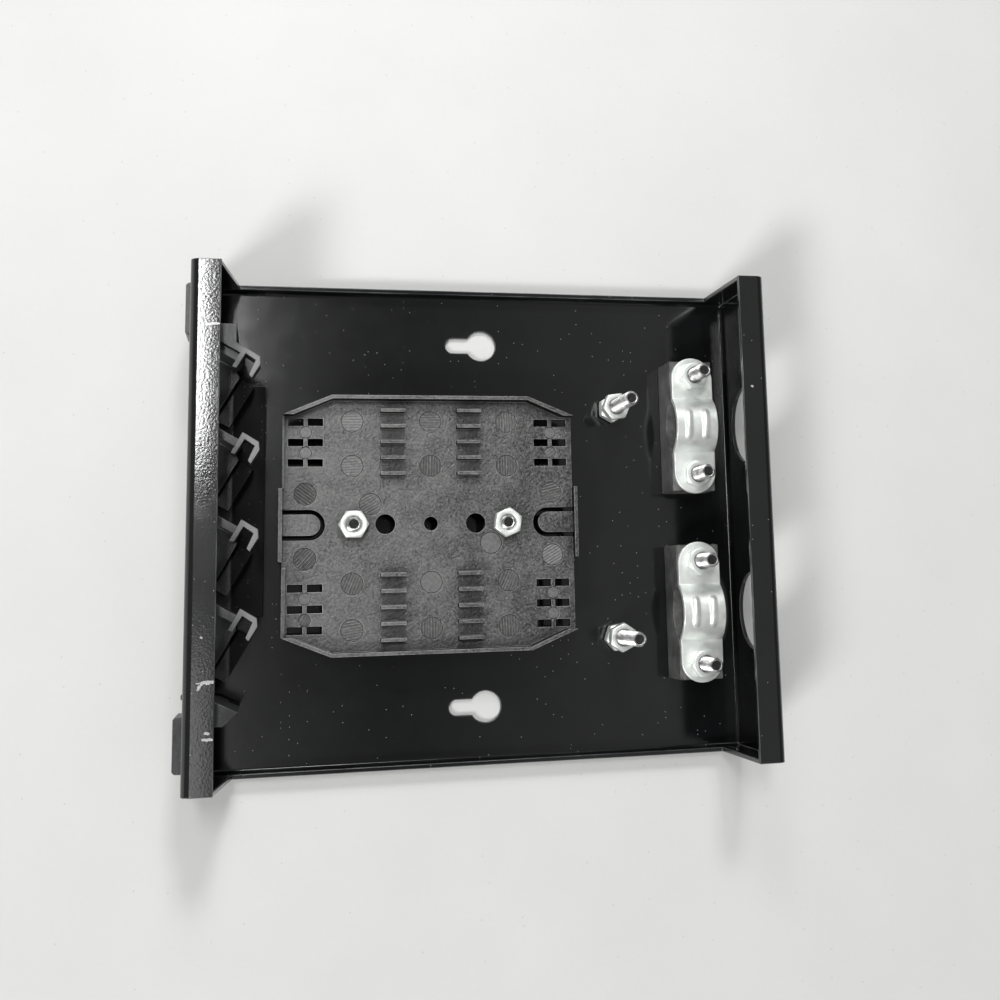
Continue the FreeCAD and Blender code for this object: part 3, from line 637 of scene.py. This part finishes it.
# ends of the tray's ejector pins: place from the tray's centre, ridge direction, ridge depth
PIN_ENDS = [
    (-21.0, 27.7, 0, 0.02), (0.0, 27.7, 2, 0.10), (21.0, 27.7, 92, 0.10),
    (-21.0, 15.6, 4, 0.05), (0.0, 15.6, 88, 0.14), (21.0, 15.6, 90, 0.14),
    (-21.0, -27.7, 8, 0.10), (0.0, -27.7, 90, 0.12), (21.0, -27.7, 92, 0.14),
    (-21.0, -15.6, 68, 0.12), (0.0, -15.6, 0, 0.0), (21.0, -15.6, 66, 0.14),
    (-33.3, 8.2, -36, 0.16), (33.3, 8.2, 14, 0.14), (-33.3, -8.9, 48, 0.14), (33.3, -8.9, 30, 0.03),
    (-16.2, 5.4, 30, 0.08), (16.3, -5.4, 0, 0.0),
]
for index, (x, y, angle, depth) in enumerate(PIN_ENDS):
    pin_end("pin_end_%02d" % index, x, y, LARGE_PIN, angle, depth, PIN_RIDGED if depth > 0.03 else PIN_PLAIN)
for index in range(8):
    x = 33.25 * (1 if index % 2 else -1)
    y = (19.2, 24.7, -19.2, -24.7)[index // 2]
    depth = 0.08 if index in (1, 6) else 0.0
    pin_end("pin_end_small_%d" % index, x, y, SMALL_PIN, 40 * index, depth, PIN_PLAIN)

# ---------------------------------------------------------------- light, table and camera


def area_light(name, place, aim, width, height, power, colour):
    """A soft rectangular light at place that faces aim."""
    data = bpy.data.lights.new(name, "AREA")
    data.shape = "RECTANGLE"
    data.size = width
    data.size_y = height
    data.energy = power
    data.color = colour
    lamp = bpy.data.objects.new(name, data)
    lamp.location = place
    lamp.rotation_euler = (Vector(aim) - Vector(place)).to_track_quat("-Z", "Y").to_euler()
    bpy.context.scene.collection.objects.link(lamp)


area_light("window", (-2.1, -1.9, 2.45), (0, 0, 0), 0.9, 0.9, 79.0, (1.0, 0.995, 0.98))
area_light("far_window", (0.10, 1.60, 1.80), (0, 0, 0), 0.35, 0.35, 15.0, (1.0, 1.0, 1.0))
area_light("lamp", (-0.048, 0.28, 0.30), (0, 0, 0), 0.09, 0.09, 0.30, (1.0, 0.99, 0.97))
area_light("ceiling", (-0.178, 0.25, 1.0), (-0.178, 0.25, 0.0), 0.11, 0.25, 2.6, (1.0, 1.0, 1.0))
area_light("near_panel", (-0.175, -0.19, 1.0), (-0.175, -0.19, 0.0), 0.14, 0.24, 0.16, (1.0, 1.0, 1.0))


def room():
    """Grey surroundings: dim overhead, brighter to the right, overhead on the left and low down."""
    world = bpy.data.worlds.new("room")
    bpy.context.scene.world = world
    world.use_nodes = True
    n = Nodes(world.node_tree)
    where = n.add("ShaderNodeTexCoord").outputs["Generated"]
    split = n.add("ShaderNodeSeparateXYZ", {0: where})
    x, z = split.outputs[0], split.outputs[2]
    to_side = n.ramp(x, 0.02, 0.30, 0.045, 0.42, smooth=True)
    back = n.ramp(x, 0.45, 0.75, 0.0, -0.30, smooth=True)
    over_left = n.ramp(x, 0.09, -0.01, 0.0, 0.36, smooth=True)
    to_left = n.ramp(x, -0.12, -0.28, 0.0, -0.28, smooth=True)
    side = n.math("ADD", n.math("ADD", to_side, back), n.math("ADD", over_left, to_left))
    low = n.ramp(z, 0.42, 0.20, 0.0, 1.0, smooth=True)
    rim = n.ramp(x, -0.2, 0.5, 0.66, 0.28, smooth=True)
    level = n.mix(low, n.add("ShaderNodeCombineColor", {0: side, 1: side, 2: side}).outputs[0],
                  n.add("ShaderNodeCombineColor", {0: rim, 1: rim, 2: rim}).outputs[0])
    n.feed(world.node_tree.nodes["Background"], {"Color": level, "Strength": 1.0})


def table_top():
    """The surface that the box lies on."""
    mesh = bpy.data.meshes.new("table_top")
    half = 3.0
    under = -0.02 * MM
    corners = [(-half, -half, under), (half, -half, under), (half, half, under), (-half, half, under)]
    mesh.from_pydata(corners, [], [(0, 1, 2, 3)])
    mesh.materials.append(table())
    top = bpy.data.objects.new("table_top", mesh)
    bpy.context.scene.collection.objects.link(top)


def camera():
    """The viewpoint: nearly straight down, from above the left half of the box."""
    data = bpy.data.cameras.new("camera")
    data.sensor_width = 36.0
    data.lens = 46.1426
    data.shift_x = -0.075165
    data.shift_y = -0.110902
    data.clip_start = 0.01
    data.clip_end = 30.0
    eye = bpy.data.objects.new("camera", data)
    pitch, roll, yaw = -0.156231, 0.230823, -0.010480
    to_camera = Matrix.Rotation(yaw, 3, "Z") @ Matrix.Rotation(roll, 3, "Y") @ Matrix.Rotation(pitch, 3, "X")
    eye.matrix_world = Matrix.Translation((-0.055296, -0.018012, 0.356558)) @ to_camera.transposed().to_4x4()
    bpy.context.scene.collection.objects.link(eye)
    bpy.context.scene.camera = eye


room()
table_top()
camera()
bpy.context.scene.view_settings.view_transform = "Standard"
